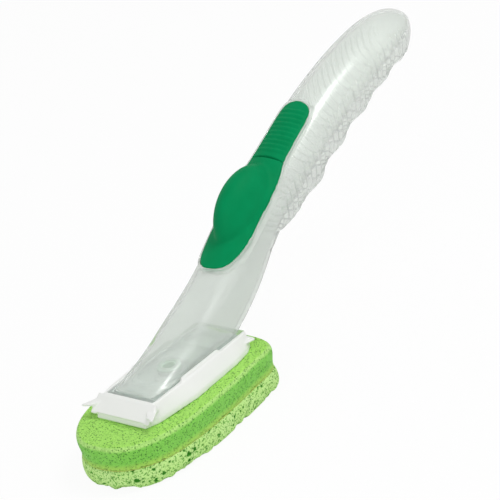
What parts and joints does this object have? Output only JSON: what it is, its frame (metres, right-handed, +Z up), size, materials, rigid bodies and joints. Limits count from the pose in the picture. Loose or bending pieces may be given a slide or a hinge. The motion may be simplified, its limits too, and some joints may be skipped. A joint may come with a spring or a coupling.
{
  "type": "dish wand",
  "caption": "Dish wand with a clear soap reservoir handle, a rubber pump dome, a refill flap and a sponge head on a slide-on tray.",
  "frame": {"origin": "middle of the scrub face of the sponge, on the surface that it stands on", "axes": "+X from the toe of the sponge to the end of the handle, +Y across, +Z up from the scrub face"},
  "size_m": [0.2678, 0.0568, 0.1217],
  "materials": {
    "clear_plastic": "clear, glossy, slightly green-grey",
    "white_plastic": "satin moulded",
    "green_rubber": "soft satin",
    "valve_rubber": "matt",
    "seal_rubber": "matt",
    "green_foam": "fine open foam",
    "glue_film": "matt",
    "green_scrub": "coarse open cellulose"
  },
  "bodies": {
    "handle": {"front_shell": "clear_plastic", "back_shell": "clear_plastic", "foot_plate": "clear_plastic", "outlet_valve": "valve_rubber", "valve_ring": "white_plastic", "cover_bezel": "clear_plastic", "cover_seat": "green_rubber"},
    "head": {"head_tray": "white_plastic", "outlet_seal": "seal_rubber", "foam_pad": "green_foam", "layer_film": "glue_film", "scrub_layer": "green_scrub"},
    "dome": {"pump_dome": "green_rubber"},
    "flap": {"refill_flap": "green_rubber"}
  },
  "joints": [
    {"name": "head_slide", "type": "slide", "parent": "handle", "child": "head", "axis": [-1, 0, 0], "range_m": [0, 0.07]},
    {"name": "pump_press", "type": "slide", "parent": "handle", "child": "dome", "axis": [0.4695, 0, -0.8829], "range_m": [0, 0.004], "stiffness_N_per_m": 800},
    {"name": "flap_hinge", "type": "hinge", "parent": "handle", "child": "flap", "pos_m": [0.1274, 0, 0.10705], "axis": [0, 1, 0], "range_deg": [0, 100], "stiffness_Nm_per_rad": 0.02}
  ]
}
